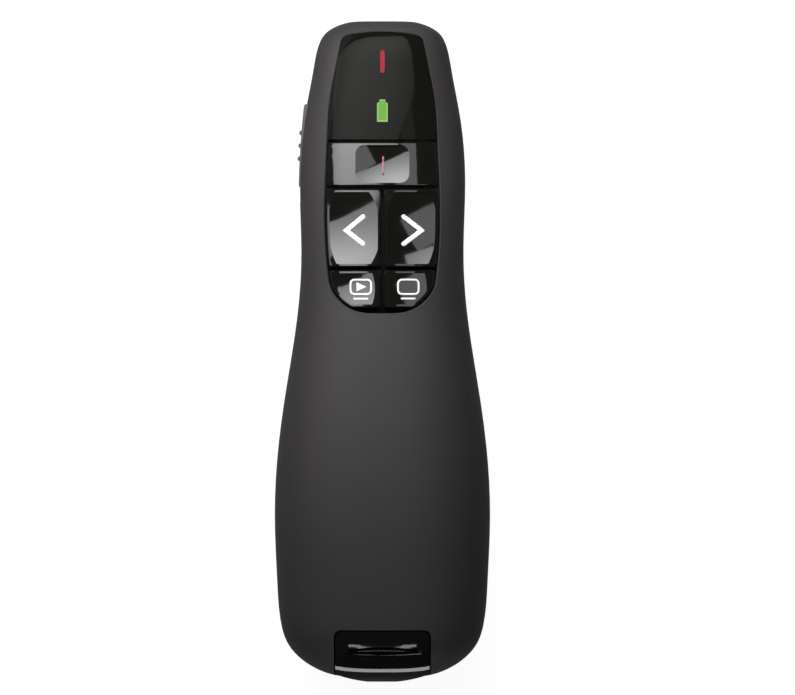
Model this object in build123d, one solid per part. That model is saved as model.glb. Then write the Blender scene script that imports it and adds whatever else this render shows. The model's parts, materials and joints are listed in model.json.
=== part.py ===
from build123d import *
from collections import namedtuple
import math
import os

# Wireless presentation clicker, millimetres.
# +X right, +Y towards the laser nose, +Z out of the key face; origin under the middle, on the rest.

# ---- Body form ----
body_length = 115.5        # laser nose to the end of the stowed receiver
receiver_proud = 0.85      # how far the receiver's end stands past the tail of the shells
nose_width = 22.0          # just behind the rounded nose
head_width = 29.0          # across the display window
waist_width = 28.4         # behind the laser button
palm_width = 37.7          # widest, over the palm end
tail_width = 33.0          # at the tail, before it rounds in
nose_crown, palm_crown, tail_crown = 18.9, 27.0, 23.9    # heights of the top line
nose_belly, belly_depth = 4.6, 0.9                       # underside at the nose; depth cut flat
waist_back = 41.0          # from the nose
palm_forward = 27.45       # from the tail
parting_z = 12.0           # height of the joint between the two shells
wall = 2.0                 # shell thickness
seam = 0.10                # open line between the shells
crown_fullness = 2.5       # 2 is an ellipse, more is squarer
belly_fullness = 3.4
nose_round = (5.8, 3.7, 3.4)         # nose rounding across, along and up
nose_lean = (1.0, 0.6, 0.7)          # narrowing over the rounding: half width, top, underside
tail_round = (11.0, 9.0, 6.0)        # tail rounding across, along and up
nose_angles, tail_angles = (84, 66, 45, 22), (20, 42, 62, 80)
# Behind the nose: distance, then the share of the way from the nose to the head width,
# from the nose to the palm crown and from the nose to the lowest underside.
front_form = ((8.0, 0.29, 0.086, 0.13), (17.0, 0.76, 0.21, 0.30), (28.0, 1.0, 0.333, 0.40))
# Waist to palm: share of the length, then of the way to the palm's width, crown and underside.
rear_form = ((0.0, 0.0, 0.494, 0.55), (0.238, 0.162, 0.654, 0.82), (0.545, 0.634, 0.864, 1.0),
             (0.779, 0.916, 0.975, 1.0), (1.0, 1.0, 1.0, 1.0))
# Behind the palm: distance, then the loss of half width and of crown.
heel_form = ((10.5, 0.41, 0.7), (17.8, 1.04, 1.7))

# ---- Joint tabs and board posts ----
tab_places = (36.0, 66.0, 89.0)      # behind the nose, one to each side
tab_height, tab_length, tab_thickness, tab_gap = 1.2, 5.0, 0.9, 0.15
tab_root, tab_step, tab_bite = 3.0, 0.5, 0.6     # depth, top below the joint, grip in the wall
post_radius, post_edge, post_gap = 2.1, 0.5, 0.1     # post, from it to the board's edges
front_post = 15.0                    # behind the nose
stake_radius, stake_height, stake_gap = 0.8, 0.5, 0.1    # pin on a post, through the board
root_depth = 0.8           # inner blocks are rooted in the wall to this far from the outside

# ---- Inlay: glossy window and keys, distances measured back from the nose ----
inlay_start, inlay_foot = 1.95, 1.0       # inlay_foot: from the last keys to the inlay's end
opening_bevel = 0.2
window_back = 20.75
window_thickness = 1.3
window_gap = 0.08
ledge_width, ledge_thickness, ledge_bite = 1.1, 0.9, 0.6
well_wall = 1.0            # wall around the keys
key_gap = 0.3              # from the opening's wall to a key
key_spacing = 0.5          # between neighbouring keys
window_key_gap, laser_key_length = 0.45, 7.7
turn_key_length = 13.65    # back and forward keys
show_key_length = 6.55     # slideshow and blank screen keys
key_corner, key_edge = 0.6, 0.25     # rounding in plan and bevel of the top edge
key_travel = 0.5
key_float = 0.15           # free height under a pressed key
dish_margin, dish_rim = 0.55, 0.12   # from a key's outline to its dish; depth at its corners
laser_dish_width = 9.4
carrier_gap, carrier_thickness, carrier_overlap = 0.2, 0.9, 0.5    # gap over the switches
stem_radius = 1.4
guide_clearance = 0.06

# ---- Lit signs in the window ----
bar_width, bar_length = 0.78, 3.95
bar_middle, icon_middle = 7.15, 15.75            # behind the nose
icon_width, icon_length = 1.86, 3.85
terminal_width, terminal_height, shoulder = 1.0, 0.35, 0.3
pipe_gap, pipe_recess = 0.04, 0.03
pipe_arm_x, pipe_arm_width, pipe_arm_height = 5.5, 1.2, 0.9

# ---- Power slider on the left side ----
slider_centre = 21.75      # behind the nose
slider_length, slider_height, slider_thickness = 14.7, 4.6, 1.2
slider_tilt = 3.7          # degrees, follows the taper of the head
slider_travel = 2.5
slider_inset = 0.15        # outer face, in from the head's half width
slider_clearance = 0.12
slider_corner = 0.5
slider_rib_pitch, slider_rib_radius, slider_rib_margin = 2.26, 0.42, 0.4
slider_rib_sink = 0.06     # rib axis below the outer face
slider_bow = 150.0         # radius of the slider's outer face
slider_stem_length, slider_stem_height, slider_stem_depth = 3.0, 1.6, 2.4
slide_switch_size = (3.4, 8.0, 3.2)
switch_gap = 0.3           # from the stem to the switch
lever_width, lever_height, lever_clearance = 1.2, 1.0, 0.05
lever_hold, lever_swing = 1.0, 1.6   # depth in the stem and in the switch

# ---- Laser module ----
laser_z = 11.8
laser_front = 2.1          # barrel's front, behind the nose
laser_radius, laser_length = 2.9, 10.5
laser_clearance = 0.05
bezel_radius, bezel_bore, bezel_recess = 2.5, 1.5, 0.12
lens_thickness, lens_recess, lens_clearance = 0.8, 0.3, 0.03
diode_can_radius, diode_can_length, diode_flange, diode_tail = 1.2, 3.1, 2.6, 0.3
diode_radius, diode_seat = 1.98, 0.07
saddle_front, saddle_back, saddle_wall, saddle_drop = 4.3, 11.2, 1.0, 0.6

# ---- Electronics ----
board_z, board_thickness = 12.4, 1.2
board_front, board_taper = 5.9, 19.0             # behind the nose
board_wall_gap = 1.4       # from the shell's inside at the waist and at the nose
board_dock_gap, board_laser_gap = 0.15, 0.6
switch_size, switch_height, switch_floor = 4.6, 1.5, 0.3
plunger_radius, plunger_rise, plunger_gap, stem_gap = 1.2, 0.55, 0.1, 0.02
diode_size, diode_rise = 1.6, 0.7
# Chips: left, right, front and back behind the nose, height; below zero hangs under the board.
chips = ((-2.5, 2.5, 27.6, 32.6, 0.9), (-1.5, 4.5, 39.0, 45.0, -1.0),
         (-5.5, -2.3, 43.5, 46.0, -0.8))

# ---- Batteries: two AAA cells side by side ----
cell_radius, cell_length = 5.25, 44.5
cell_nub_radius, cell_nub_height, cell_crimp = 1.9, 0.8, 0.6
cell_gap = 0.2             # between the two cells
cell_lift = 0.67           # over the battery door
contact_thickness, contact_spring = 0.3, 1.1
contact_width, contact_height, leaf_width, leaf_half = 7.2, 7.6, 3.0, 2.6
bay_clearance = 0.3
bay_wall, bay_roof = 1.2, 0.6
bay_back = 8.7             # from the tail of the shells
door_thickness, door_gap, door_recess = 1.4, 0.15, 0.08
door_ledge = 0.7
door_rib_width, door_rib_height, door_rib_margin = 1.4, 1.6, 2.0
thumb_back, thumb_radius, thumb_depth = 8.0, 30.0, 0.75
thumb_ribs, thumb_pitch, thumb_rib_width, thumb_rib_length = 5, 1.7, 0.6, 7.2

# ---- Receiver, stowed in the tail ----
receiver_width, receiver_height = 16.4, 7.2
plug_length = 12.0
receiver_gap = 0.25        # to each side of its dock
receiver_corner, receiver_wall, receiver_seam = 1.6, 1.0, 0.06
handle_length, notch_corner = 9.25, 1.2          # notch in the top shell, from the receiver's end
handle_bow, handle_corner, handle_edge = 1.45, 1.0, 0.6
handle_across = 6.0        # rounding of the handle's form across, at its end
plug_width, plug_height, plug_wall, plug_root = 12.0, 4.5, 0.35, 4.0
plug_clearance = 0.05
plug_window_x, plug_window_width, plug_window_front, plug_window_length = 2.5, 2.2, 5.2, 2.4
tongue_thickness, tongue_recess, tongue_clearance = 2.0, 0.4, 0.1
strip_xs, strip_width, strip_thickness, strip_length = (-3.5, -1.2, 1.2, 3.5), 1.0, 0.15, 8.6
strip_back = 1.4           # from the plug's tip
radio_board_thickness, radio_chip = 0.8, (6.0, 6.0, 1.0)
dock_floor, dock_wall, dock_height, dock_end_wall = 0.55, 0.9, 5.0, 0.8
dock_stop_gap = 0.35       # from the plug's tip to the dock's end
dock_well_gap = 1.25       # from the dock's end to the well around the keys
scoop_width, scoop_radius, scoop_back = 15.6, 1.3, 4.0       # a spindle across the handle
scoop_lift = 0.2           # its axis over the handle

# ---- Places worked out from the sizes above ----
nose_y = body_length / 2
receiver_end = -body_length / 2
tail_y = receiver_end + receiver_proud
palm_y = tail_y + palm_forward
waist_y = nose_y - waist_back
notch_front = receiver_end + handle_length
bay_back_y = tail_y + bay_back
slider_face_x = head_width / 2 - slider_inset
board_half_width = waist_width / 2 - wall - board_wall_gap
board_nose_half_width = nose_width / 2 - wall - board_wall_gap
board_top = board_z + board_thickness
carrier_top = board_top + switch_height + carrier_gap + carrier_thickness
cell_spacing = 2 * cell_radius + cell_gap
cell_z = door_recess + door_thickness + cell_radius + cell_lift
laser_key_front = window_back + window_key_gap         # keys, behind the nose
laser_key_back = laser_key_front + laser_key_length
turn_front = laser_key_back + key_spacing
turn_back = turn_front + turn_key_length
show_front = turn_back + key_spacing
show_back = show_front + show_key_length
inlay_end = show_back + inlay_foot
all_x, all_y, all_z = 50.0, 80.0, 50.0           # half widths of cutting boxes, past everything


def behind(distance):
    """Y of a place measured back from the nose."""
    return nose_y - distance


def mix(low, high, share):
    return low + (high - low) * share


def body_rows(tail_end, rounding):
    """Rows of the body form from nose to tail: y, half width, top height, bottom height."""
    nose, head, waist, palm, tail = (w / 2 for w in (nose_width, head_width, waist_width,
                                                     palm_width, tail_width))
    across, along, up = nose_round
    rows = []
    for angle in nose_angles:
        turn = math.radians(angle)
        pull, fall = along * (1 - math.sin(turn)), 1 - math.cos(turn)
        share = pull / along - 1
        rows.append((nose_y - pull, nose + nose_lean[0] * share - across * fall,
                     nose_crown + nose_lean[1] * share - up * fall,
                     nose_belly - nose_lean[2] * share + up * fall))
    rise, drop = palm_crown - nose_crown, -belly_depth - nose_belly
    rows.append((behind(along), nose, nose_crown, nose_belly))
    for distance, widen, lift, sink in front_form:
        rows.append((behind(distance), mix(nose, head, widen), nose_crown + rise * lift,
                     nose_belly + drop * sink))
    for step, widen, lift, sink in rear_form:
        rows.append((mix(waist_y, palm_y, step), mix(waist, palm, widen),
                     nose_crown + rise * lift, nose_belly + drop * sink))
    for distance, narrow, fall in heel_form:
        rows.append((palm_y - distance, palm - narrow, palm_crown - fall, -belly_depth))
    across, along, up = rounding
    last_y, last_half, last_top, last_bottom = rows[-1]
    for angle in tail_angles:
        turn = math.radians(angle)
        y, fall = tail_end + along * (1 - math.sin(turn)), 1 - math.cos(turn)
        share = (y - tail_end) / (last_y - tail_end)
        rows.append((y, mix(tail, last_half, share) - across * fall,
                     mix(tail_crown, last_top, share) - up * fall,
                     mix(-belly_depth / 2, last_bottom, share) + up * fall))
    return rows


ROWS = body_rows(tail_y, tail_round)


def row_at(y):
    """Half width and top height of the body form at y."""
    for (y1, half1, top1, _), (y2, half2, top2, _) in zip(ROWS, ROWS[1:]):
        if y2 <= y <= y1:
            share = (y - y2) / (y1 - y2)
            return mix(half2, half1, share), mix(top2, top1, share)
    return ROWS[-1][1], ROWS[-1][2]


def skin_height(x, y):
    """Height of the top surface over a place in plan."""
    half, top = row_at(y)
    drop = (abs(x) / half) ** crown_fullness
    return parting_z + (top - parting_z) * (1 - drop) ** (1 / crown_fullness)


def half_section(y, half_width, height, fullness, points=12):
    """A closed half section at y, rising or sinking from the parting plane."""
    arch = []
    for k in range(points + 1):
        cosine, sine = math.cos(math.pi * k / points), math.sin(math.pi * k / points)
        reach = (abs(cosine) ** fullness + abs(sine) ** fullness) ** (-1 / fullness)
        arch.append(Vector(half_width * cosine * reach, y, parting_z + height * sine * reach))
    speed = math.copysign((arch[1] - arch[0]).length * points, height)
    curve = Edge.make_spline(arch, tangents=[Vector(0, 0, speed), Vector(0, 0, -speed)],
                             parameters=[k / points for k in range(points + 1)], scale=False)
    return Wire([curve, Edge.make_line(arch[-1], arch[0])])


def upper(inset, rows=ROWS):
    """The body form above the parting plane, shrunk by the inset all round."""
    sections = []
    for y, half, top, _ in rows:
        y *= 1 - inset / nose_y
        sections.append(half_section(y, half - inset, top - inset - parting_z, crown_fullness))
    return Solid.make_loft(sections)


def lower(inset):
    """The body form below the parting plane, shrunk by the inset all round."""
    sections = []
    for y, half, _, bottom in ROWS:
        y *= 1 - inset / nose_y
        sections.append(half_section(y, half - inset, bottom + inset - parting_z, belly_fullness))
    return Solid.make_loft(sections)


def box(x1, x2, y1, y2, z1, z2):
    return Solid.make_box(x2 - x1, y2 - y1, z2 - z1).moved(Location((x1, y1, z1)))


def block(x, y, z1, z2, size_x, size_y):
    """A box centred on a place in plan, between two heights."""
    return box(x - size_x / 2, x + size_x / 2, y - size_y / 2, y + size_y / 2, z1, z2)


def rod(x, y, z1, z2, radius):
    return Solid.make_cylinder(radius, z2 - z1).moved(Location((x, y, z1)))


def rod_y(x, z, y1, y2, radius):
    plane = Plane(origin=(x, y1, z), x_dir=(1, 0, 0), z_dir=(0, 1, 0))
    return Solid.make_cylinder(radius, y2 - y1, plane)


def ball(radius, centre):
    return Solid.make_sphere(radius, angle1=-90, angle2=90, angle3=360).moved(Location(centre))


def prism(face, z1=parting_z, z2=all_z):
    """A plan face extruded between two heights."""
    return extrude(face.moved(Location((0, 0, z1))), z2 - z1, dir=(0, 0, 1))


def inlay_face(inset):
    """Plan outline of the inlay: a tombstone with bowed sides and a round bottom."""
    def edge(x, distance):
        return (x - inset, behind(distance))
    corner = (5.85 - inset / 2, behind(inlay_start + 0.55 + inset))
    shoulder = edge(7.25, inlay_start + 2.1 + inset / 2)
    hip = edge(9.36, inlay_end - 6.0)
    side = [shoulder, edge(8.1, 8.25), edge(9.2, 14.45), edge(9.6, 20.45), edge(10.1, 33.75), hip]
    foot = [hip, (9.0 - inset, behind(inlay_end - 4.45 - inset / 3)),
            (7.25 - inset * 0.8, behind(inlay_end - 2.02 - inset * 0.6)),
            (5.15 - inset * 0.6, behind(inlay_end - 0.62 - inset * 0.8)),
            (0, behind(inlay_end - inset))]
    turn = (shoulder[0] - 0.15, corner[1] - 0.3)

    def mirrored(points):
        return [(-x, y) for x, y in reversed(points)]
    with BuildSketch() as sketch:
        with BuildLine():
            ThreePointArc(*mirrored([corner]), (0, behind(inlay_start + inset)), corner)
            Bezier(corner, turn, shoulder)
            Spline(*side)
            Spline(*(foot + mirrored(foot)[1:]))
            Spline(*mirrored(side))
            Bezier(*mirrored([corner, turn, shoulder]))
        make_face()
    return sketch.sketch


def band(front, back, left=-all_x, right=all_x):
    """A plan rectangle between two distances behind the nose."""
    return Pos((left + right) / 2, (behind(front) + behind(back)) / 2) * Rectangle(right - left,
                                                                                   back - front)


def cut_face(outline, zone, radius):
    """The part of a plan outline inside a rectangle, rounded where the rectangle cuts it."""
    face, limits = outline & zone, zone.bounding_box()
    corners = [v for v in face.vertices()
               if min(abs(v.Y - limits.min.Y), abs(v.Y - limits.max.Y),
                      abs(v.X - limits.min.X), abs(v.X - limits.max.X)) < 0.001]
    return fillet(corners, radius)


def dish(face, depth):
    """A spherical scoop under a plan face: full depth in the middle, rim depth at its corners."""
    limits = face.bounding_box()
    x, y = limits.center().X, limits.center().Y
    reach = math.hypot(limits.size.X, limits.size.Y) / 2
    radius = reach ** 2 / (2 * (depth - dish_rim))
    run = reach / 2
    slope_x = (skin_height(x + run, y) - skin_height(x - run, y)) / (2 * run)
    slope_y = (skin_height(x, y + run) - skin_height(x, y - run)) / (2 * run)
    normal = Vector(-slope_x, -slope_y, 1).normalized()
    centre = Vector(x, y, skin_height(x, y)) + normal * (radius - depth)
    return prism(face) & ball(radius, centre)


def joint_tab(side, y):
    """A tab inside the bottom shell's wall, whose tongue stands up behind the top shell's wall."""
    reach = tab_length / 2
    slope = (row_at(y + reach)[0] - row_at(y - reach)[0]) / tab_length
    turn = Rot(0, 0, -side * math.degrees(math.atan(slope)))
    place = Pos(side * (row_at(y)[0] - wall), y, 0) * turn
    inner, outer = sorted((-side * (tab_gap + tab_thickness), -side * tab_gap))
    root_inner, root_outer = sorted((-side * (tab_gap + tab_thickness), side * tab_bite))
    tongue = box(inner, outer, -reach, reach, parting_z - tab_root / 2, parting_z + tab_height)
    root = box(root_inner, root_outer, -reach, reach, parting_z - tab_root, parting_z - tab_step)
    return place * tongue, place * root


def save(name, shape):
    shape.label = name
    export_step(shape, "parts/" + name + ".step")


os.makedirs("parts", exist_ok=True)
skin, under_skin = upper(0), upper(wall)
belly, under_belly = lower(0), lower(wall)
opening = prism(inlay_face(0))
key_zone = prism(band(window_back, body_length))
window_zone = prism(band(0, window_back))

# ---- Places of the slider: its frame runs towards the nose and out of the left side ----
tilt = math.radians(slider_tilt)
slider_frame = Plane(origin=(-slider_face_x, behind(slider_centre), 0),
                     x_dir=(math.sin(tilt), math.cos(tilt), 0), z_dir=(0, 0, 1))
half_slider, half_stem = slider_length / 2, slider_stem_length / 2
stem_bottom = parting_z - slider_stem_height
stem_reach = slider_thickness + slider_stem_depth      # outer face to the stem's inner end
switch_face = stem_reach + switch_gap                  # outer face to the switch body
switch_depth, switch_length, switch_tall = slide_switch_size
lever_z1 = parting_z - (slider_stem_height + lever_height) / 2
lever_z2 = lever_z1 + lever_height


def slider_box(u1, u2, depth1, depth2, z1, z2):
    """A box along the slider, between two depths below its outer face."""
    return slider_frame.location * box(u1, u2, -depth2, -depth1, z1, z2)


slider_recess = slider_box(-half_slider - slider_travel - slider_clearance,
                           half_slider + slider_clearance, -slider_face_x,
                           slider_thickness + slider_clearance,
                           parting_z - slider_height / 2 - slider_clearance,
                           parting_z + slider_height / 2 + slider_clearance)
slider_slot = slider_box(-half_stem - slider_travel - slider_clearance,
                         half_stem + slider_clearance, 0, switch_face + switch_depth / 2,
                         stem_bottom - slider_clearance, parting_z + slider_clearance)
laser_front_y = behind(laser_front)
laser_back_y = laser_front_y - laser_length
laser_bore = rod_y(0, laser_z, behind(nose_round[1] + laser_front), nose_y + 1,
                   bezel_radius + laser_clearance)
laser_room = rod_y(0, laser_z, behind(window_back), nose_y,
                   laser_radius + laser_clearance + key_gap)

# ---- Heights through the tail: cells, bay roof, dock floor, receiver ----
door_seat = door_recess + door_thickness
bay_half = cell_spacing / 2 + cell_radius + bay_clearance
bay_front_y = bay_back_y + cell_length + 2 * contact_thickness + contact_spring
bay_ceiling = cell_z + cell_radius + bay_clearance
bay_top = bay_ceiling + bay_roof
dock_top = bay_top + dock_floor
receiver_floor = dock_top + receiver_gap
receiver_half = receiver_width / 2
receiver_split = receiver_floor + receiver_height / 2
notch_half = receiver_half + receiver_gap
dock_front_y = behind(inlay_end) - well_wall - dock_well_gap
dock_stop_y = dock_front_y - dock_end_wall
plug_tip_y = dock_stop_y - dock_stop_gap
receiver_front = plug_tip_y - plug_length
board_back_y = max(dock_front_y, bay_front_y + bay_wall) + board_dock_gap

# ---- Top shell ----
with BuildSketch() as sketch:
    with Locations((0, (notch_front - body_length) / 2)):
        Rectangle(2 * notch_half, notch_front + body_length)
    fillet(sketch.vertices().group_by(Axis.Y)[-1], notch_corner)
notch = prism(sketch.sketch, dock_top)
crown = skin.cut(opening)
outside = max(crown.faces(), key=lambda f: f.area)
crown = crown.chamfer(opening_bevel, None, outside.inner_wires()[0].edges())
ledge_ring = prism(inlay_face(-ledge_bite)).cut(prism(inlay_face(ledge_width)), key_zone,
                                                laser_room)
ledge = (upper(window_thickness + window_gap / 4) & ledge_ring) - upper(
    window_thickness + ledge_thickness)
well = prism(inlay_face(-well_wall), carrier_top).cut(opening, window_zone) & upper(wall / 2)
saddle_bore = rod_y(0, laser_z, laser_back_y - 1, laser_front_y, laser_radius + laser_clearance)
top_shell = crown.cut(under_skin, notch, slider_recess, laser_bore, saddle_bore)
top_shell = top_shell.fuse(ledge, well)
save("top_shell", top_shell)

# ---- Bottom shell: flat rest, battery bay, saddle, posts and joint tabs ----
rim_z = parting_z - seam
post_x = board_half_width - post_radius - post_edge
posts = [(side * x, y) for side in (-1, 1)
         for x, y in ((post_x, board_back_y + post_radius + post_gap),
                      (post_x - 2 * post_gap, behind(front_post)))]
bay_outer = (-bay_half - bay_wall, bay_half + bay_wall, bay_back_y - bay_wall,
             bay_front_y + bay_wall)
saddle_half = laser_radius + saddle_wall
inner_blocks = [rod(x, y, 0, parting_z, post_radius) for x, y in posts]
inner_blocks.append(box(-saddle_half, saddle_half, behind(saddle_back), behind(saddle_front),
                        0, laser_z - saddle_drop))
inner_blocks.append(box(*bay_outer, 0, parting_z))
rooted = lower(root_depth)
inner_blocks = [piece & rooted for piece in inner_blocks]
inner_blocks.append(box(*bay_outer, rim_z - bay_roof, bay_top))
inner_blocks += [rod(x, y, laser_z, board_z, post_radius) for x, y in posts]
inner_blocks += [rod(x, y, laser_z, board_top + stake_height, stake_radius) for x, y in posts]
for y in tab_places:
    for side in (-1, 1):
        inner_blocks.extend(joint_tab(side, behind(y)))
above_rim = box(-all_x, all_x, -all_y, all_y, rim_z, all_z)
below_rest = box(-all_x, all_x, -all_y, all_y, -all_z, 0)
bay = box(-bay_half, bay_half, bay_back_y, bay_front_y, -all_z, bay_ceiling)
door_opening = box(-bay_half, bay_half, bay_back_y - door_ledge, bay_front_y + door_ledge,
                   -all_z, door_seat)
bottom_shell = belly.cut(under_belly, above_rim, below_rest)
bottom_shell = bottom_shell.fuse(*inner_blocks)
bottom_shell = bottom_shell.cut(bay, door_opening, saddle_bore, laser_bore, slider_recess,
                                slider_slot)
save("bottom_shell", bottom_shell)

# ---- Battery door: a flat plate with a centre rib inside and a ribbed thumb scoop outside ----
door_x = bay_half - door_gap
door_y1, door_y2 = bay_back_y - door_ledge + door_gap, bay_front_y + door_ledge - door_gap
door = box(-door_x, door_x, door_y1, door_y2, door_recess, door_seat) & lower(door_recess)
door += box(-door_rib_width / 2, door_rib_width / 2, bay_back_y + door_rib_margin,
            bay_front_y - door_rib_margin, door_seat - door_thickness / 2,
            door_seat + door_rib_height)
thumb_y = door_y1 + thumb_back
door -= ball(thumb_radius, (0, thumb_y, door_recess + thumb_depth - thumb_radius))
for k in range(thumb_ribs):
    y = thumb_y + (k - (thumb_ribs - 1) / 2) * thumb_pitch
    door += block(0, y, door_recess + opening_bevel / 2, door_seat - door_thickness / 4,
                  thumb_rib_length, thumb_rib_width)
save("battery_door", door)

# ---- Display window ----
bar_y, icon_y = behind(bar_middle), behind(icon_middle)


def battery_outline(grow):
    """Plan outline of a battery sign, its terminal towards the nose."""
    half, foot = icon_width / 2 + grow, icon_y - icon_length / 2 - grow
    top = icon_y + icon_length / 2 + grow
    neck = top - terminal_height
    tip = terminal_width / 2 + grow
    return make_face(Polyline((-half, foot), (half, foot), (half, neck - shoulder), (tip, neck),
                              (tip, top), (-tip, top), (-tip, neck), (-half, neck - shoulder),
                              (-half, foot)))


def bar_outline(grow):
    return Pos(0, bar_y) * SlotOverall(bar_length + 2 * grow, bar_width + 2 * grow, rotation=90)


window_face = inlay_face(window_gap) & band(0, window_back)
window = prism(window_face) & skin
window = window.cut(upper(window_thickness), prism(bar_outline(pipe_gap)),
                    prism(battery_outline(pipe_gap)))
save("display_window", window)

# ---- Keys: each takes its top from the body form and has a stem over its switch ----
Key = namedtuple("Key", "front back left right stem_x dish_reach dish_depth dish_corner")
half_space = key_spacing / 2
keys = {
    "laser_button": Key(laser_key_front, laser_key_back, -all_x, all_x, 0,
                        laser_dish_width / 2, 0.8, 1.6),
    "back_button": Key(turn_front, turn_back, -all_x, -half_space, -5.0, all_x, 0.85, 1.4),
    "forward_button": Key(turn_front, turn_back, half_space, all_x, 5.0, all_x, 0.85, 1.4),
    "slideshow_button": Key(show_front, show_back, -all_x, -half_space, -4.0, all_x, 0.45, 0.6),
    "blank_screen_button": Key(show_front, show_back, half_space, all_x, 4.0, all_x, 0.45,
                               0.6),
}
switch_top = board_top + switch_height
plunger_top = switch_top + plunger_rise
key_field, dish_field = inlay_face(key_gap), inlay_face(key_gap + dish_margin)
key_floor = carrier_top + key_travel + key_float
stem_places = []
for name, spec in keys.items():
    x, y = spec.stem_x, behind((spec.front + spec.back) / 2)
    face = cut_face(key_field, band(spec.front, spec.back, spec.left, spec.right), key_corner)
    key = prism(face, key_floor) & skin
    top = max(key.faces(), key=lambda f: f.center().Z)
    key = key.chamfer(key_edge, None, top.edges())
    key += rod(x, y, plunger_top + stem_gap, key_floor + key_travel, stem_radius)
    stem_places.append((x, y))
    dish_zone = band(spec.front + dish_margin, spec.back - dish_margin,
                     max(spec.left + dish_margin, -spec.dish_reach),
                     min(spec.right - dish_margin, spec.dish_reach))
    dish_face = cut_face(dish_field, dish_zone, spec.dish_corner)
    save(name, key - dish(dish_face, spec.dish_depth))

# ---- Key carrier: flat guide plate closing the well under the keys ----
carrier_face = inlay_face(-carrier_overlap) & band(window_back + key_gap, body_length)
carrier = prism(carrier_face, carrier_top - carrier_thickness, carrier_top)
guides = [rod(x, y, 0, all_z, stem_radius + guide_clearance) for x, y in stem_places]
save("key_carrier", carrier.cut(*guides))

# ---- Power slider, its lever and the switch under the board ----
sagitta = half_slider ** 2 / (2 * slider_bow)
slider_bottom = parting_z - slider_height / 2
with BuildSketch(slider_frame) as sketch:
    with BuildLine():
        ThreePointArc((-half_slider, -sagitta), (0, 0), (half_slider, -sagitta))
        Polyline((half_slider, -sagitta), (half_slider, -slider_thickness),
                 (-half_slider, -slider_thickness), (-half_slider, -sagitta))
    make_face()
    fillet(sketch.vertices().sort_by(lambda v: slider_frame.to_local_coords(v).Y)[-2:],
           slider_corner)
slider = extrude(sketch.sketch.moved(Location((0, 0, slider_bottom))), slider_height,
                 dir=(0, 0, 1))
for k in (-1, 0, 1):
    place = slider_frame.location * Location((k * slider_rib_pitch, -slider_rib_sink,
                                              slider_bottom + slider_rib_margin))
    slider += Solid.make_cylinder(slider_rib_radius,
                                  slider_height - 2 * slider_rib_margin).moved(place)
slider += slider_box(-half_stem, half_stem, slider_thickness / 2, stem_reach, stem_bottom,
                     parting_z)
half_lever = lever_width / 2
lever_root = stem_reach - lever_hold
slider -= slider_box(-half_lever - lever_clearance, half_lever + lever_clearance,
                     lever_root - lever_clearance, stem_reach + 1, lever_z1 - lever_clearance,
                     lever_z2 + lever_clearance)
save("power_slider", slider)
lever_tip = switch_face + lever_swing
save("power_switch_lever", slider_box(-half_lever, half_lever, lever_root, lever_tip, lever_z1,
                                      lever_z2))
slide_switch = slider_box(-switch_length / 2, switch_length / 2, switch_face,
                          switch_face + switch_depth, board_z - switch_tall, board_z)
slide_switch -= slider_box(-half_lever - slider_travel - lever_clearance * 2,
                           half_lever + lever_clearance * 2, 0, lever_tip + lever_clearance * 2,
                           lever_z1 - lever_clearance * 2, lever_z2 + lever_clearance * 2)
save("power_switch_body", slide_switch)

# ---- Main board on its posts, notched around the laser ----
board_front_y, taper_y = behind(board_front), behind(board_taper)
notch_x, notch_y = laser_radius + board_laser_gap, laser_back_y - board_laser_gap
right_edge = [(board_half_width, board_back_y), (board_half_width, taper_y),
              (board_nose_half_width, board_front_y), (notch_x, board_front_y),
              (notch_x, notch_y)]
left_edge = [(-x, y) for x, y in reversed(right_edge)]
board = prism(make_face(Polyline(*right_edge, *left_edge, close=True)), board_z, board_top)
board = board.cut(*[rod(x, y, 0, all_z, stake_radius + stake_gap) for x, y in posts])
save("main_board", board)

# ---- Tact switches: bodies on the board, plungers under the key stems ----
bodies = []
plunger_bottom = board_top + switch_floor + key_travel + plunger_gap
for (x, y), name in zip(stem_places, keys):
    body = block(x, y, board_top, switch_top, switch_size, switch_size)
    bodies.append(body - rod(x, y, board_top + switch_floor, all_z,
                             plunger_radius + guide_clearance))
    save(name.replace("_button", "_plunger"), rod(x, y, plunger_bottom, plunger_top,
                                                  plunger_radius))
save("tact_switches", Compound(bodies))

chip_boxes = []
for left, right, front, back, height in chips:
    low, high = (board_top, board_top + height) if height > 0 else (board_z + height, board_z)
    chip_boxes.append(box(left, right, behind(back), behind(front), low, high))
save("board_chips", Compound(chip_boxes))

# ---- Indicators: two diodes on the board, each under its light pipe ----
led_top = board_top + diode_rise
save("indicator_leds", Compound([
    block(pipe_arm_x, bar_y, board_top, led_top, diode_size, diode_size / 2),
    block(0, icon_y, board_top, led_top, diode_size, diode_size / 2)]))
pipe_form = upper(pipe_recess)
pipe_foot = led_top + pipe_gap
arm_z = laser_z + laser_radius + laser_clearance + key_gap
bar_pipe = prism(bar_outline(0), arm_z) & pipe_form
bar_pipe += box(-bar_width / 2, pipe_arm_x + pipe_arm_width / 2, bar_y - pipe_arm_width / 2,
                bar_y + pipe_arm_width / 2, arm_z, arm_z + pipe_arm_height)
bar_pipe += block(pipe_arm_x, bar_y, pipe_foot, arm_z + pipe_arm_height, pipe_arm_width,
                  pipe_arm_width)
save("laser_light_bar", bar_pipe)
save("battery_light", prism(battery_outline(0), pipe_foot) & pipe_form)

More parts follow.
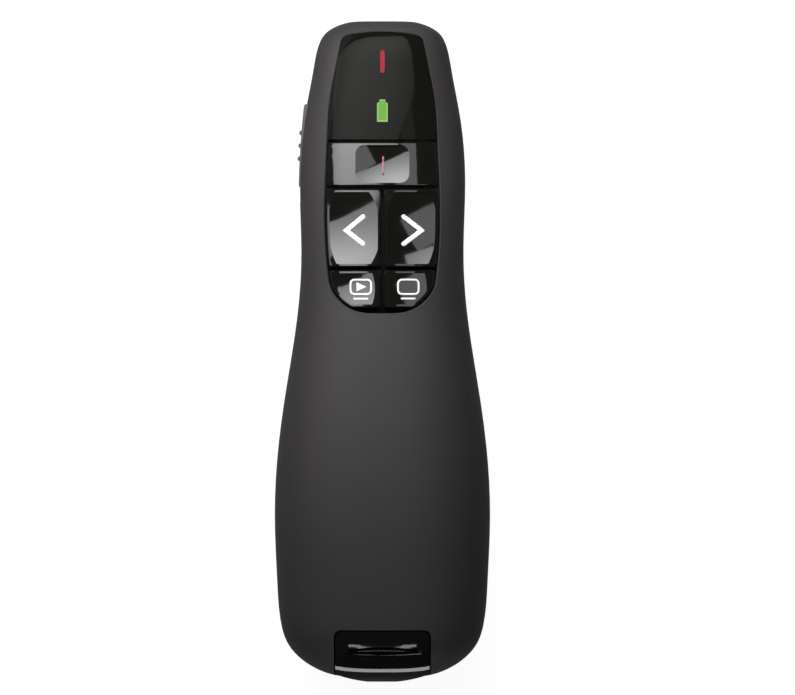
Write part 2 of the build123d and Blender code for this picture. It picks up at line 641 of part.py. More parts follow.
# ---- Laser module in the nose ----
diode_stop = laser_back_y + diode_can_length
barrel = rod_y(0, laser_z, laser_back_y, laser_front_y - laser_clearance, laser_radius)
barrel = barrel.cut(rod_y(0, laser_z, laser_back_y - 1, diode_stop + diode_seat,
                          diode_radius + diode_seat),
                    rod_y(0, laser_z, laser_back_y, laser_front_y + 1, bezel_bore))
save("laser_barrel", barrel)
diode = rod_y(0, laser_z, laser_back_y - diode_tail, laser_back_y + diode_flange, diode_radius)
diode += rod_y(0, laser_z, laser_back_y, diode_stop, diode_can_radius)
save("laser_diode", diode)
bezel = rod_y(0, laser_z, laser_front_y, nose_y - bezel_recess, bezel_radius)
save("laser_bezel", bezel - rod_y(0, laser_z, laser_front_y - 1, nose_y + 1, bezel_bore))
lens_y = laser_front_y + lens_recess
save("laser_lens", rod_y(0, laser_z, lens_y, lens_y + lens_thickness,
                         bezel_bore - lens_clearance))

# ---- Cells and their contacts ----
shoulder_y = cell_length - cell_nub_height
with BuildSketch() as sketch:
    with BuildLine():
        Polyline((0, 0), (cell_radius, 0), (cell_radius, shoulder_y - cell_crimp),
                 (cell_radius - cell_crimp, shoulder_y), (cell_nub_radius, shoulder_y),
                 (cell_nub_radius, cell_length), (0, cell_length), close=True)
    make_face()
cell = revolve(sketch.sketch, Axis.Y)
half_spacing = cell_spacing / 2
left_foot_y = bay_front_y - contact_thickness - cell_length
right_foot_y = bay_back_y + contact_thickness + cell_length
save("battery_left", Pos(-half_spacing, left_foot_y, cell_z) * cell)
save("battery_right", Pos(half_spacing, right_foot_y, cell_z) * Rot(0, 0, 180) * cell)


def contact_plate(x, wall_y, inward, sprung):
    """A contact plate against an end wall of the bay, with a bowed leaf for a flat cell end."""
    plate_y = wall_y + inward * contact_thickness
    plate = block(x, (wall_y + plate_y) / 2, cell_z - contact_height / 2,
                  cell_z + contact_height / 2, contact_width, contact_thickness)
    if sprung:
        bow = contact_spring - lens_clearance
        radius = (leaf_half ** 2 + bow ** 2) / (2 * bow)
        hoop = Solid.make_cylinder(radius, leaf_width) - Solid.make_cylinder(
            radius - contact_thickness, leaf_width)
        leaf = Pos(x - leaf_width / 2, plate_y + inward * (bow - radius), cell_z) * (
            Rot(0, 90, 0) * hoop)
        keep1, keep2 = sorted((plate_y - inward * contact_thickness / 3,
                               plate_y + inward * 2 * contact_spring))
        plate += leaf & box(x - leaf_width, x + leaf_width, keep1, keep2,
                            cell_z - contact_height, cell_z + contact_height)
    return plate


save("front_contacts", Compound([contact_plate(-half_spacing, bay_front_y, -1, False),
                                 contact_plate(half_spacing, bay_front_y, -1, True)]))
save("rear_contacts", Compound([contact_plate(-half_spacing, bay_back_y, 1, True),
                                contact_plate(half_spacing, bay_back_y, 1, False)]))

# ---- Receiver dock: a channel on the bay roof ----
dock_back_y = bay_back_y + bay_wall / 4
dock = box(-notch_half - dock_wall, notch_half + dock_wall, dock_back_y, dock_front_y, bay_top,
           dock_top + dock_height)
dock -= box(-notch_half, notch_half, -all_y, dock_stop_y, dock_top, all_z)
save("receiver_dock", dock)

# ---- Receiver: stick, handle under the tail's form, plug ----
stick_back = notch_front - receiver_corner
with BuildSketch(Plane.XZ) as sketch:
    with Locations((0, receiver_split)):
        RectangleRounded(receiver_width, receiver_height, receiver_corner)
stick = extrude(sketch.sketch.moved(Location((0, stick_back, 0))), receiver_front - stick_back,
                dir=(0, 1, 0))
handle_front, end_corner_y = notch_front - receiver_gap, receiver_end + handle_bow
with BuildSketch() as sketch:
    with BuildLine():
        Polyline((-receiver_half, end_corner_y), (-receiver_half, handle_front),
                 (receiver_half, handle_front), (receiver_half, end_corner_y))
        ThreePointArc((receiver_half, end_corner_y), (0, receiver_end),
                      (-receiver_half, end_corner_y))
    make_face()
    fillet(sketch.vertices().group_by(Axis.Y)[-1], handle_corner)
handle_form = upper(0, body_rows(receiver_end, (handle_across, *tail_round[1:])))
handle = prism(sketch.sketch, receiver_floor) & handle_form
end_edges = [e for e in handle.edges() if e.center().Y < end_corner_y - handle_bow / 2
             and e.center().Z > receiver_split]
handle = fillet(end_edges, handle_edge)
scoop_y, half_scoop = notch_front - scoop_back, scoop_width / 2
with BuildSketch() as sketch:
    with BuildLine():
        ThreePointArc((-half_scoop, 0), (0, scoop_radius), (half_scoop, 0))
        Line((half_scoop, 0), (-half_scoop, 0))
    make_face()
handle -= Pos(0, scoop_y, skin_height(0, scoop_y) + scoop_lift) * revolve(sketch.sketch, Axis.X)
hollow = box(-receiver_half + receiver_wall, receiver_half - receiver_wall,
             notch_front + receiver_corner, receiver_front - receiver_wall,
             receiver_floor + receiver_wall, receiver_floor + receiver_height - receiver_wall)
plug_z1, plug_z2 = receiver_split - plug_height / 2, receiver_split + plug_height / 2
half_plug = plug_width / 2
plug_mouth = box(-half_plug - plug_clearance, half_plug + plug_clearance,
                 receiver_front - plug_root, receiver_front + 1, plug_z1 - plug_clearance,
                 plug_z2 + plug_clearance)
case = (stick + handle).cut(hollow, plug_mouth)
half_seam = receiver_seam / 2
save("receiver_top_cover", case & box(-all_x, all_x, -all_y, all_y, receiver_split + half_seam,
                                      all_z))
save("receiver_bottom_cover", case & box(-all_x, all_x, -all_y, all_y, 0,
                                         receiver_split - half_seam))
plug_y1 = receiver_front - receiver_wall - plug_root
plug = box(-half_plug, half_plug, plug_y1, plug_tip_y, plug_z1, plug_z2)
plug -= box(-half_plug + plug_wall, half_plug - plug_wall, plug_y1 + plug_wall, all_y,
            plug_z1 + plug_wall, plug_z2 - plug_wall)
window_y = receiver_front + plug_window_front + plug_window_length / 2
for x in (-plug_window_x, plug_window_x):
    plug -= block(x, window_y, 0, all_z, plug_window_width, plug_window_length)
save("receiver_plug_shell", plug)
tongue_half = half_plug - plug_wall - tongue_clearance
tongue_bottom = plug_z1 + plug_wall
tongue_top = tongue_bottom + tongue_thickness
save("receiver_plug_tongue", box(-tongue_half, tongue_half,
                                 plug_y1 + plug_wall + tongue_clearance,
                                 plug_tip_y - tongue_recess, tongue_bottom, tongue_top))
strip_y = plug_tip_y - strip_back - strip_length / 2
save("receiver_plug_contacts", Compound([block(x, strip_y, tongue_top,
                                               tongue_top + strip_thickness, strip_width,
                                               strip_length) for x in strip_xs]))
radio_y1, radio_y2 = notch_front + 2 * receiver_wall, plug_y1 - plug_clearance
radio_z1 = receiver_split - radio_board_thickness / 2
radio_z2 = radio_z1 + radio_board_thickness
radio_half = receiver_half - receiver_wall - tongue_clearance
chip_x, chip_y, chip_z = radio_chip
receiver_board = box(-radio_half, radio_half, radio_y1, radio_y2, radio_z1, radio_z2)
receiver_board += block(0, (radio_y1 + radio_y2) / 2, radio_z1, radio_z2 + chip_z, chip_x,
                        chip_y)
save("receiver_board", receiver_board)
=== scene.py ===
import json
import math

import bmesh
import bpy
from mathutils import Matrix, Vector
from mathutils.bvhtree import BVHTree


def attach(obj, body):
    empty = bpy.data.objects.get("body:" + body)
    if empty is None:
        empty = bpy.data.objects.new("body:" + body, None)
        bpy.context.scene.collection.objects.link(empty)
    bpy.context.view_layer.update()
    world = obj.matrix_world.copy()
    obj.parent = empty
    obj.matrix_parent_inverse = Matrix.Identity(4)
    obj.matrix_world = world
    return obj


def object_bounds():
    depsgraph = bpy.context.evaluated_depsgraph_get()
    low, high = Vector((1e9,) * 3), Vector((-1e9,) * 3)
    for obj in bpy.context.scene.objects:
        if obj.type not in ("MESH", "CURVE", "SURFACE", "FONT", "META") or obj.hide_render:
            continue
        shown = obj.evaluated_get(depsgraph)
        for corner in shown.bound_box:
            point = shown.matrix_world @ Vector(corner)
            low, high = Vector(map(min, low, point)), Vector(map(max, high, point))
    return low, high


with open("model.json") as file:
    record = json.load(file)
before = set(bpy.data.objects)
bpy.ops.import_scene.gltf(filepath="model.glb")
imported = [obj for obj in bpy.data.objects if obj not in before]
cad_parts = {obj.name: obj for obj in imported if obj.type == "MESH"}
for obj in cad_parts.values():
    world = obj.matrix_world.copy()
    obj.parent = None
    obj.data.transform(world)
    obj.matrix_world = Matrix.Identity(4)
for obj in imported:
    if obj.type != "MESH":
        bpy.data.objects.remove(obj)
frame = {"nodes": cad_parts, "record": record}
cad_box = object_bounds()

# The wireless presentation clicker, dressed for its picture. Every CAD node is shown as it is,
# in a finish of its own or its slot's, and five thin printed marks ride on the keys.
# Lengths are in metres unless a name or a comment says millimetres.
# +Y is the nose, +X the right-hand side and Z is up.
MM = 0.001
nodes = frame["nodes"]
scene = bpy.context.scene


# ---------------------------------------------------------------- colours
def linear(red, green, blue):
    """A colour written as 0-255 display values, turned into linear light by the sRGB curve."""
    out = []
    for value in (red, green, blue):
        share = value / 255
        out.append(share / 12.92 if share <= 0.04045 else ((share + 0.055) / 1.055) ** 2.4)
    return (*out, 1.0)


def dimmed(colour, share):
    """A colour with a share of its light; a share over 1 makes it paler."""
    return tuple(c * share for c in colour[:3]) + (1.0,)


# ---------------------------------------------------------------- materials
NOISE_LOW, NOISE_HIGH = 0.3, 0.7       # nearly all values of a noise texture lie between these
SMEARED = {"detail": 6.0, "rough": 0.6}        # a noise with more fine detail than the usual
MIX_A, MIX_B, MIX_RESULT = 6, 7, 2     # the colour sockets of a Mix node


class Maker:
    """Builds one node material, with its textures laid in the object's own coordinates."""

    def __init__(self, name):
        self.material = bpy.data.materials.new(name)
        self.material.use_nodes = True
        self.tree = self.material.node_tree
        self.shader = self.tree.nodes["Principled BSDF"]
        self.place = self.tree.nodes.new("ShaderNodeTexCoord").outputs["Object"]

    def add(self, kind, **values):
        node = self.tree.nodes.new(kind)
        for key, value in values.items():
            setattr(node, key, value)
        return node

    def link(self, source, target):
        self.tree.links.new(source, target)

    def set(self, **values):
        """Set the shader's own sockets, with _ for the spaces of their names."""
        for key, value in values.items():
            self.shader.inputs[key.replace("_", " ")].default_value = value

    def places(self):
        """The object's own X, Y and Z."""
        split = self.add("ShaderNodeSeparateXYZ")
        self.link(self.place, split.inputs["Vector"])
        return split.outputs

    def noise(self, scale, detail=4.0, rough=0.5):
        node = self.add("ShaderNodeTexNoise")
        node.inputs["Scale"].default_value = scale
        node.inputs["Detail"].default_value = detail
        node.inputs["Roughness"].default_value = rough
        self.link(self.place, node.inputs["Vector"])
        return node.outputs["Fac"]

    def ramp(self, source, stops):
        node = self.add("ShaderNodeValToRGB")
        elements = node.color_ramp.elements
        while len(elements) < len(stops):
            elements.new(0.5)
        for element, (position, colour) in zip(elements, stops):
            element.position = position
            element.color = colour
        self.link(source, node.inputs["Fac"])
        return node.outputs["Color"]

    def progress(self, source, start, end):
        """0 where the source is at the start, 1 where it is at the end."""
        node = self.add("ShaderNodeMapRange")
        node.inputs["From Min"].default_value = start
        node.inputs["From Max"].default_value = end
        self.link(source, node.inputs["Value"])
        return node.outputs["Result"]

    def two_tone(self, scale, dark, light):
        """A colour that wanders between two."""
        return self.ramp(self.noise(scale), [(NOISE_LOW, dark), (NOISE_HIGH, light)])

    def paint(self, colour, socket="Base Color"):
        """Give one of the shader's colours a texture."""
        self.link(colour, self.shader.inputs[socket])

    def roughen(self, limits, scale, **texture):
        """A roughness that wanders between two limits."""
        source = self.noise(scale, **texture)
        node = self.add("ShaderNodeMapRange")
        node.inputs["From Min"].default_value = NOISE_LOW
        node.inputs["From Max"].default_value = NOISE_HIGH
        node.inputs["To Min"].default_value, node.inputs["To Max"].default_value = limits
        self.link(source, node.inputs["Value"])
        self.link(node.outputs["Result"], self.shader.inputs["Roughness"])

    def bump(self, source, depth):
        node = self.add("ShaderNodeBump")
        node.inputs["Distance"].default_value = depth
        self.link(source, node.inputs["Height"])
        self.link(node.outputs["Normal"], self.shader.inputs["Normal"])


def around(middle, reach):
    return middle - reach, middle + reach


def mottled(name, colour, spread, scale, rough, rough_scale, grain, depth, **values):
    """A material whose colour and roughness wander a little, with a fine grain in relief."""
    made = Maker(name)
    made.paint(made.two_tone(scale, dimmed(colour, 1 - spread), dimmed(colour, 1 + spread)))
    made.roughen(rough, rough_scale, **SMEARED)
    made.bump(made.noise(grain, detail=3.0), depth)
    made.set(**values)
    return made.material


def soft_touch():
    """Charcoal soft-touch plastic: very fine grain, faint cloudiness in its sheen."""
    return mottled("soft_touch_charcoal", linear(45, 43, 43), spread=0.05, scale=55.0,
                   rough=(0.52, 0.60), rough_scale=140.0, grain=9000.0, depth=0.006 * MM,
                   Specular_IOR_Level=0.22)


GLOSS_ROUGH, GLOSS_SMEARS = (0.035, 0.075), 220.0      # roughness, and the scale it wanders at


def gloss_black(name="gloss_black", sheen=0.5):
    """Piano-black plastic: almost no diffuse colour, faint smears in the gloss."""
    return mottled(name, linear(14, 14, 12), spread=0.10, scale=40.0, rough=GLOSS_ROUGH,
                   rough_scale=GLOSS_SMEARS, grain=260.0, depth=0.0015 * MM,
                   Specular_IOR_Level=sheen)


def plain_plastic(name, colour, rough):
    return mottled(name, colour, spread=0.08, scale=300.0, rough=around(rough, 0.05),
                   rough_scale=500.0, grain=6000.0, depth=0.008 * MM)


def metal(name, colour, rough):
    return mottled(name, colour, spread=0.06, scale=400.0, rough=around(rough, 0.06),
                   rough_scale=900.0, grain=5000.0, depth=0.004 * MM, Metallic=1.0)


def white_print():
    """White pad print, slightly uneven."""
    return mottled("white_print", linear(212, 212, 212), spread=0.02, scale=900.0,
                   rough=(0.32, 0.42), rough_scale=1200.0, grain=4000.0, depth=0.003 * MM)


def rim_mask(made, node, width):
    """1 within a width of the sides and ends of a CAD node seen in plan, 0 inside."""
    spots = [v.co for v in nodes[node].data.vertices]
    places = made.places()
    near_edge = []
    for axis, name in enumerate("XY"):
        low, high = min(s[axis] for s in spots), max(s[axis] for s in spots)
        away = made.add("ShaderNodeMath", operation="SUBTRACT")
        away.inputs[1].default_value = (low + high) / 2
        made.link(places[name], away.inputs[0])
        size = made.add("ShaderNodeMath", operation="ABSOLUTE")
        made.link(away.outputs[0], size.inputs[0])
        past = made.add("ShaderNodeMath", operation="GREATER_THAN")
        past.inputs[1].default_value = (high - low) / 2 - width
        made.link(size.outputs[0], past.inputs[0])
        near_edge.append(past.outputs[0])
    either = made.add("ShaderNodeMath", operation="MAXIMUM")
    made.link(near_edge[0], either.inputs[0])
    made.link(near_edge[1], either.inputs[1])
    return either.outputs[0]


PIPE_BASE, PIPE_PAINTED_GLOW = 0.14, 0.62      # share of the colour under plain light, and strength of the glow painted in as emission
PIPE_SCALE = 700.0
BASE_SHADE, GLOW_SHADE = 0.9, 0.94     # the darker of the two tones that the base and the painted glow each wander between
SIGN_RIM = 0.22 * MM


def light_pipe(name, colour, rimmed_node=None, rim=None):
    """Tinted light pipe with a glow painted in as emission for its lit diode, and a paler
    painted glow at its rim where one is given.
    """
    made = Maker(name)
    shade = made.two_tone(PIPE_SCALE, dimmed(colour, GLOW_SHADE), colour)
    if rim:
        mix = made.add("ShaderNodeMix", data_type="RGBA")
        made.link(rim_mask(made, rimmed_node, SIGN_RIM), mix.inputs["Factor"])
        made.link(shade, mix.inputs[MIX_A])
        mix.inputs[MIX_B].default_value = rim
        shade = mix.outputs[MIX_RESULT]
    # Painted glow: the pipe's colour and its rim's go into the emission, and no lamp lights it.
    made.paint(shade, "Emission Color")
    made.paint(made.two_tone(PIPE_SCALE, dimmed(colour, PIPE_BASE * BASE_SHADE),
                             dimmed(colour, PIPE_BASE)))
    made.roughen((0.16, 0.24), scale=300.0)
    made.set(Emission_Strength=PIPE_PAINTED_GLOW, Specular_IOR_Level=0.03)
    return made.material


INK_FLOOR = 0.45                       # share of the ink's colour that is left at its bottom
INK_FULL = 0.7                         # how far up from there it has its whole colour


def fading_ink(name, colour, top, bottom):
    """Ink in a gloss face that gets darker along Y, from its top to its bottom."""
    made = Maker(name)
    height = made.progress(made.places()["Y"], bottom, top)
    made.paint(made.ramp(height, [(0.0, dimmed(colour, INK_FLOOR)), (INK_FULL, colour)]))
    made.roughen(GLOSS_ROUGH, GLOSS_SMEARS, **SMEARED)
    return made.material


def circuit_board():
    """Black solder mask under a satin coat, with paler lines for the traces."""
    made = Maker("circuit_board")
    cells = made.add("ShaderNodeTexVoronoi", feature="DISTANCE_TO_EDGE")
    cells.inputs["Scale"].default_value = 420.0
    made.link(made.place, cells.inputs["Vector"])
    from_line = cells.outputs["Distance"]
    made.paint(made.ramp(from_line, [(0.05, linear(40, 44, 42)), (0.12, linear(18, 20, 19))]))
    made.roughen((0.28, 0.38), scale=400.0)
    made.bump(from_line, 0.01 * MM)
    return made.material


CELL_REAR, CELL_FRONT = -46.0 * MM, -2.0 * MM      # the ends of the sleeves along Y


def cell_jacket():
    """Sleeve of a cell, along Y: bare steel, a blue length, a gold length, bare steel."""
    made = Maker("cell_jacket")
    blue, gold = linear(52, 70, 96), linear(186, 150, 84)
    along = made.progress(made.places()["Y"], CELL_REAR, CELL_FRONT)
    made.paint(made.ramp(along, [(0.0, linear(150, 152, 155)), (0.03, blue), (0.70, blue),
                                 (0.72, gold), (0.97, gold), (1.0, linear(170, 172, 175))]))
    made.roughen((0.25, 0.35), scale=500.0)
    made.set(Metallic=0.6)
    return made.material


def lens_glass():
    made = Maker("lens_glass")
    made.paint(made.two_tone(scale=500.0, dark=linear(225, 235, 250),
                             light=linear(235, 242, 252)))
    made.roughen((0.02, 0.05), scale=800.0)
    made.set(Transmission_Weight=0.9, IOR=1.5)
    return made.material


SLOT_FINISH = {
    "soft_touch_shell": soft_touch(),
    "gloss_black": gloss_black(),
    "slider_grey": plain_plastic("slider_plastic", linear(44, 43, 43), 0.45),
    "inner_black_plastic": plain_plastic("inner_black", linear(22, 22, 22), 0.5),
    "circuit_board": circuit_board(),
    "plated_steel": metal("plated_steel", linear(200, 200, 196), 0.28),
    "brass_barrel": metal("brass", linear(212, 175, 96), 0.25),
    "lens_glass": lens_glass(),
    # The light pipes glow by emission painted into their materials, and the green one's rim
    # glows paler.
    "red_light_pipe": light_pipe("red_light_pipe", linear(184, 48, 68)),
    "green_light_pipe": light_pipe("green_light_pipe", linear(124, 192, 80), "battery_light",
                                   rim=linear(182, 224, 156)),
    "led_epoxy": plain_plastic("led_epoxy", linear(235, 230, 190), 0.2),
    "cell_jacket": cell_jacket(),
}
# The window's smoked face and the receiver's handle reflect less than the gloss of the keys.
WINDOW_SMOKE = gloss_black("smoked_window", sheen=0.035)
HANDLE_GLOSS = gloss_black("handle_gloss", sheen=0.30)
OWN_FINISH = {"display_window": WINDOW_SMOKE, "receiver_top_cover": HANDLE_GLOSS,
              "receiver_bottom_cover": HANDLE_GLOSS}


def dress_nodes():
    """Give every CAD node its own finish or its slot's; the node's mesh stays as it is."""
    for part in frame["record"]["subparts"]:
        name = part["node"]
        materials = nodes[name].data.materials
        materials.clear()
        materials.append(OWN_FINISH.get(name, SLOT_FINISH[part["material_slot"]]))


dress_nodes()

# ---------------------------------------------------------------- printed marks
# Places and sizes in millimetres, seen in plan.
BACK_CHEVRON = ((-3.35, 23.5), (-6.3, 21.1), (-3.35, 18.75))
FORWARD_CHEVRON = ((3.73, 23.5), (6.85, 21.1), (3.73, 18.75))
SLIDESHOW_CENTRE, BLANK_CENTRE = (-3.75, 11.25), (4.53, 11.27)
LASER_TOP, LASER_BOTTOM = (0.14, 33.9), (0.14, 30.9)
SCREEN_SIZE, SCREEN_RADIUS = (3.6, 2.5), 0.80
UNDERLINE_DROP, UNDERLINE_LENGTH = 2.05, 2.3
PLAY_LEFT, PLAY_RIGHT, PLAY_HALF_HEIGHT, PLAY_RADIUS = 0.75, 1.0, 0.80, 0.12

CHEVRON_STROKE, ICON_STROKE, LASER_STROKE = 0.80 * MM, 0.31 * MM, 0.36 * MM
CHEVRON_ROOM = 0.55 * MM           # a chevron's corner has no other row this near
PRINT_THICKNESS = 0.03 * MM
PRINT_LIFT = PRINT_THICKNESS / 2   # of the print's middle over the key's face

ROW_STEP = 0.25 * MM               # between the rows of a strip
STRIP_FACES, END_FACES = 4, 12     # across a strip, and round each of its ends
SHARPEST = 0.5                     # a bend widens a strip at most 1 / this
CORNER_STEPS, FILL_RINGS = 6, 4
RAY_HEIGHT = 100 * MM              # over everything, where the rays down to the keys start
MERGE_DISTANCE = 1e-7

PRINT = white_print()
RED_PRINT = fading_ink("red_print", linear(132, 70, 90), LASER_TOP[1] * MM,
                       LASER_BOTTOM[1] * MM)


def mm(*points):
    """Plan points given in millimetres, in metres."""
    return [(x * MM, y * MM) for x, y in points]


def rows_along(path, corner_room):
    """Places along a path, none nearer to one of its corners than the corner room.

    Rows that lie nearer to a sharp corner would fold over each other on its inner side.
    """
    rows = []
    for a, b in zip(path, path[1:]):
        room_after = corner_room if a is not path[0] else 0.0
        room_before = corner_room if b is not path[-1] else 0.0
        count = max(1, int((b - a).length / ROW_STEP))
        for k in range(count):
            spot = a.lerp(b, k / count)
            clear = (spot - a).length >= room_after and (spot - b).length >= room_before
            if k == 0 or clear:
                rows.append(spot)
    rows.append(path[-1])
    return rows


def add_round_end(verts, faces, tip, inner, width):
    """Add a half disc to a strip, at the row that ends it."""
    out = (tip - inner).normalized()
    start = math.atan2(out.y, out.x) - math.pi / 2
    centre = len(verts)
    verts.append(tip)
    for k in range(END_FACES + 1):
        angle = start + math.pi * k / END_FACES
        verts.append(tip + Vector((math.cos(angle), math.sin(angle))) * width / 2)
    faces.extend((centre, centre + 1 + k, centre + 2 + k) for k in range(END_FACES))


def ribbon(points, width, closed=False, corner_room=0.0):
    """Flat strip along plan points, closed on itself or with rounded ends."""
    path = [Vector(point) for point in points]
    if closed:
        path.append(path[0])
    rows = rows_along(path, corner_room)
    last = len(rows) - 1
    verts, faces = [], []
    for index, point in enumerate(rows):
        if closed:
            before, after = rows[(index - 1) % last], rows[(index + 1) % last]
        else:
            before, after = rows[max(index - 1, 0)], rows[min(index + 1, last)]
        run = (after - before).normalized()
        side = Vector((-run.y, run.x))
        bend = 1.0
        if closed or 0 < index < last:
            bend = 1 / max(SHARPEST, abs((point - before).normalized().dot(run)))
        for k in range(STRIP_FACES + 1):
            verts.append(point + side * width * (k / STRIP_FACES - 0.5) * bend)
    for row in range(last):
        for k in range(STRIP_FACES):
            a = row * (STRIP_FACES + 1) + k
            faces.append((a, a + 1, a + STRIP_FACES + 2, a + STRIP_FACES + 1))
    if not closed:
        add_round_end(verts, faces, rows[0], rows[1], width)
        add_round_end(verts, faces, rows[last], rows[last - 1], width)
    return verts, faces


def rounded(points, radius):
    """A closed plan polygon with its corners rounded."""
    out = []
    count = len(points)
    for index in range(count):
        before, here, after = (Vector(points[(index + k) % count]) for k in (-1, 0, 1))
        start = here + (before - here).normalized() * radius
        end = here + (after - here).normalized() * radius
        for k in range(CORNER_STEPS + 1):
            t = k / CORNER_STEPS
            out.append(tuple(start * (1 - t) ** 2 + here * 2 * t * (1 - t) + end * t * t))
    return out


def filled(points):
    """A filled convex plan shape made of rings that shrink to its middle."""
    middle = sum((Vector(p) for p in points), Vector((0, 0))) / len(points)
    verts, faces = [middle], []
    count = len(points)
    for ring in range(1, FILL_RINGS + 1):
        verts.extend(middle.lerp(Vector(p), ring / FILL_RINGS) for p in points)
    for k in range(count):
        faces.append((0, 1 + k, 1 + (k + 1) % count))
    for ring in range(1, FILL_RINGS):
        base, outer = 1 + (ring - 1) * count, 1 + ring * count
        for k in range(count):
            step = (k + 1) % count
            faces.append((base + k, outer + k, outer + step, base + step))
    return verts, faces


def chevron(points):
    return [ribbon(mm(*points), CHEVRON_STROKE, corner_room=CHEVRON_ROOM)]


def screen_icon(centre):
    """Rounded screen outline with a short line under it."""
    x, y = centre
    half_x, half_y = SCREEN_SIZE[0] / 2, SCREEN_SIZE[1] / 2
    corners = mm((x - half_x, y - half_y), (x + half_x, y - half_y), (x + half_x, y + half_y),
                 (x - half_x, y + half_y))
    outline = rounded(corners, SCREEN_RADIUS * MM)
    line = mm((x - UNDERLINE_LENGTH / 2, y - UNDERLINE_DROP),
              (x + UNDERLINE_LENGTH / 2, y - UNDERLINE_DROP))
    return [ribbon(outline, ICON_STROKE, closed=True), ribbon(line, ICON_STROKE)]


def play_triangle(centre):
    x, y = centre
    corners = mm((x - PLAY_LEFT, y + PLAY_HALF_HEIGHT), (x - PLAY_LEFT, y - PLAY_HALF_HEIGHT),
                 (x + PLAY_RIGHT, y))
    return filled(rounded(corners, PLAY_RADIUS * MM))


def printed(name, node, body, shapes, material):
    """Lay plan shapes on the top of a CAD node as a thin print that follows its surface."""
    face_of = nodes[node].data
    tree = BVHTree.FromPolygons([v.co for v in face_of.vertices],
                                [p.vertices for p in face_of.polygons])
    mesh = bpy.data.meshes.new(name)
    build = bmesh.new()
    for verts, faces in shapes:
        made = []
        for x, y in verts:
            spot = tree.ray_cast(Vector((x, y, RAY_HEIGHT)), Vector((0, 0, -1)))[0]
            if spot is None:
                raise ValueError(f"{name}: a mark runs off {node}")
            made.append(build.verts.new(spot + Vector((0, 0, PRINT_LIFT))))
        for face in faces:
            build.faces.new([made[k] for k in face])
    bmesh.ops.remove_doubles(build, verts=build.verts, dist=MERGE_DISTANCE)
    bmesh.ops.recalc_face_normals(build, faces=build.faces)
    for face in build.faces:
        if face.normal.z < 0:
            face.normal_flip()
    build.to_mesh(mesh)
    build.free()
    mesh.materials.append(material)
    mesh.shade_smooth()
    piece = bpy.data.objects.new(name, mesh)
    scene.collection.objects.link(piece)
    solid = piece.modifiers.new("thickness", "SOLIDIFY")
    solid.thickness = PRINT_THICKNESS
    solid.offset = 0.0                 # half of it each way, so it starts at the key's face
    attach(piece, body)


printed("back_mark", "back_button", "back_key", chevron(BACK_CHEVRON), PRINT)
printed("forward_mark", "forward_button", "forward_key",
        chevron(FORWARD_CHEVRON), PRINT)
printed("slideshow_mark", "slideshow_button", "slideshow_key",
        screen_icon(SLIDESHOW_CENTRE) + [play_triangle(SLIDESHOW_CENTRE)], PRINT)
printed("blank_screen_mark", "blank_screen_button", "blank_screen_key",
        screen_icon(BLANK_CENTRE), PRINT)
printed("laser_mark", "laser_button", "laser_key",
        [ribbon(mm(LASER_TOP, LASER_BOTTOM), LASER_STROKE)], RED_PRINT)

# ---------------------------------------------------------------- floor
FLOOR_SIZE, FLOOR_GAP = 3.0, 0.1 * MM      # the gap keeps it clear of the underside
FLOOR_COLOUR = (0.14, 0.14, 0.14, 1.0)
FLOOR_GLOW = {"Is Camera Ray": 0.94, "Is Glossy Ray": 0.12, "Is Transmission Ray": 0.30}


def floor():
    """Plain floor that reads white in the picture and keeps the soft shadow."""
    bpy.ops.mesh.primitive_plane_add(size=FLOOR_SIZE, location=(0, 0, cad_box[0][2] - FLOOR_GAP))
    plane = bpy.context.object
    plane.name = "floor"
    material = bpy.data.materials.new("pale_floor")
    material.use_nodes = True
    tree = material.node_tree
    tree.nodes.clear()
    rays = tree.nodes.new("ShaderNodeLightPath")
    level = None
    for ray, strength in FLOOR_GLOW.items():
        share = tree.nodes.new("ShaderNodeMath")
        share.operation = "MULTIPLY_ADD"
        share.inputs[1].default_value = strength
        share.inputs[2].default_value = 0.0
        tree.links.new(rays.outputs[ray], share.inputs[0])
        if level:
            tree.links.new(level, share.inputs[2])
        level = share.outputs[0]
    glow = tree.nodes.new("ShaderNodeEmission")
    tree.links.new(level, glow.inputs["Strength"])
    matt = tree.nodes.new("ShaderNodeBsdfDiffuse")
    matt.inputs["Color"].default_value = FLOOR_COLOUR
    both = tree.nodes.new("ShaderNodeAddShader")
    tree.links.new(glow.outputs[0], both.inputs[0])
    tree.links.new(matt.outputs[0], both.inputs[1])
    out = tree.nodes.new("ShaderNodeOutputMaterial")
    tree.links.new(both.outputs[0], out.inputs["Surface"])
    plane.data.materials.append(material)


# ---------------------------------------------------------------- light
WORLD_STRENGTH = 0.03
AIM = Vector((0.0, 30.0, 18.0)) * MM   # on the keys, where every lamp points
# How far the bright core reaches, in shares of the lamp's face, and the gain in it and past it.
FADE_REACH, CORE_GAIN, EDGE_GAIN = 0.80, 3.8, 1.2
# Name, azimuth from +X and lean from straight above in degrees, distance from AIM, size, watts,
# and where one is given, the place of the bright core across and along the lamp.
LAMPS = (
    ("main_box", 114.0, 28.0, 0.15, (0.1875, 0.0975), 0.20, (0.38, 0.35)),  # over the nose
    ("wing", 27.6, 17.4, 0.176, (0.049, 0.049), 0.0165),    # what the forward key reflects
    ("left_box", 152.0, 62.0, 0.12, (0.14, 0.05), 0.070),   # low on the left of the head
    ("tail_strip", 270.0, 87.0, 0.45, (0.30, 0.06), 0.50),  # just over the floor, past the tail
    ("low_strip", 270.0, 44.0, 0.45, (0.24, 0.03), 0.16),   # halfway up, past the tail
    ("nose_strip", 90.0, 80.0, 0.45, (0.40, 0.03), 0.35),   # low, past the nose
)


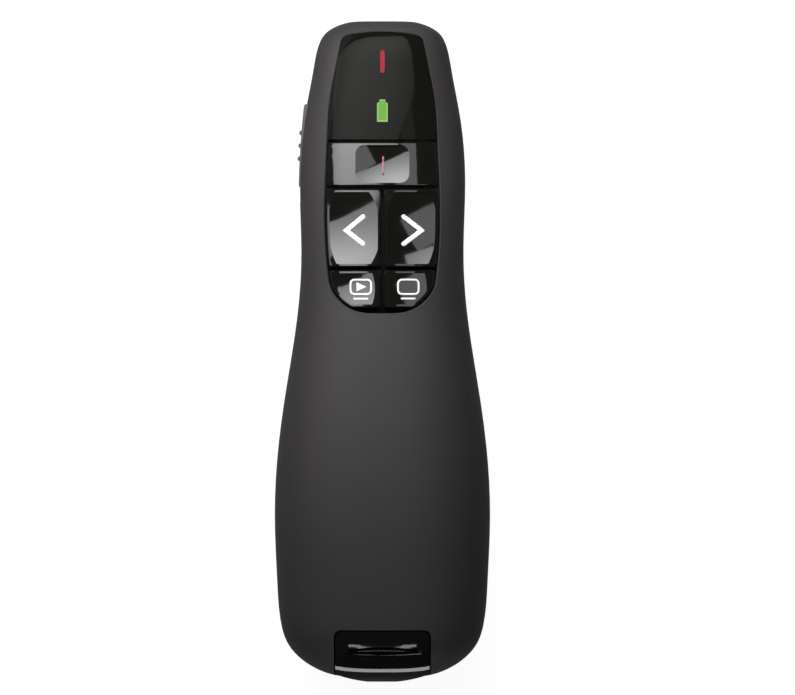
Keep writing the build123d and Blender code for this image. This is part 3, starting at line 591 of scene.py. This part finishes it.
def bright_core(lamp, core):
    """Make a lamp bright round one place of its face, and fade it from there outwards."""
    lamp.use_nodes = True
    tree = lamp.node_tree
    face = tree.nodes.new("ShaderNodeNewGeometry")
    away = tree.nodes.new("ShaderNodeVectorMath")
    away.operation = "DISTANCE"
    away.inputs[1].default_value = (*core, 0.0)
    tree.links.new(face.outputs["Parametric"], away.inputs[0])
    fade = tree.nodes.new("ShaderNodeMapRange")
    fade.interpolation_type = "SMOOTHSTEP"
    fade.inputs["From Max"].default_value = FADE_REACH
    fade.inputs["To Min"].default_value = CORE_GAIN
    fade.inputs["To Max"].default_value = EDGE_GAIN
    tree.links.new(away.outputs["Value"], fade.inputs["Value"])
    tree.links.new(fade.outputs["Result"], tree.nodes["Emission"].inputs["Strength"])


def softbox(name, azimuth, lean, distance, size, power, core=None):
    """A rectangular lamp that points at the keys and isn't seen by the camera itself."""
    lamp = bpy.data.lights.new(name, "AREA")
    lamp.shape = "RECTANGLE"
    lamp.size, lamp.size_y = size
    lamp.energy = power
    if core:
        bright_core(lamp, core)
    holder = bpy.data.objects.new(name, lamp)
    turn, fall = math.radians(azimuth), math.radians(lean)
    out = Vector((math.cos(turn) * math.sin(fall), math.sin(turn) * math.sin(fall),
                  math.cos(fall)))
    holder.location = AIM + out * distance
    holder.rotation_euler = (-out).to_track_quat("-Z", "Y").to_euler()
    holder.visible_camera = False
    scene.collection.objects.link(holder)


def lights():
    """A weak even world, and the lamps."""
    world = bpy.data.worlds.new("studio")
    scene.world = world
    world.use_nodes = True
    back = world.node_tree.nodes["Background"]
    back.inputs["Color"].default_value = (1, 1, 1, 1)
    back.inputs["Strength"].default_value = WORLD_STRENGTH
    for lamp in LAMPS:
        softbox(*lamp)


# ---------------------------------------------------------------- camera
VIEW_WIDTH = 139.2 * MM            # width of the view at the height of the object's outline
VIEW_CENTRE = (2.64 * MM, 0.70 * MM)
OUTLINE_HEIGHT = 12.0 * MM
LENS, SENSOR = 500.0, 36.0         # millimetres; a long lens, so the sides stay upright
NEAREST, FARTHEST = 0.01, 20.0


def camera():
    """The camera, which looks straight down as it isn't turned."""
    view = bpy.data.cameras.new("camera")
    view.lens = LENS
    view.sensor_width = SENSOR
    view.clip_start, view.clip_end = NEAREST, FARTHEST
    holder = bpy.data.objects.new("camera", view)
    holder.location = (*VIEW_CENTRE, OUTLINE_HEIGHT + VIEW_WIDTH * LENS / SENSOR)
    scene.collection.objects.link(holder)
    scene.camera = holder


floor()
lights()
camera()
scene.view_settings.view_transform = "Standard"
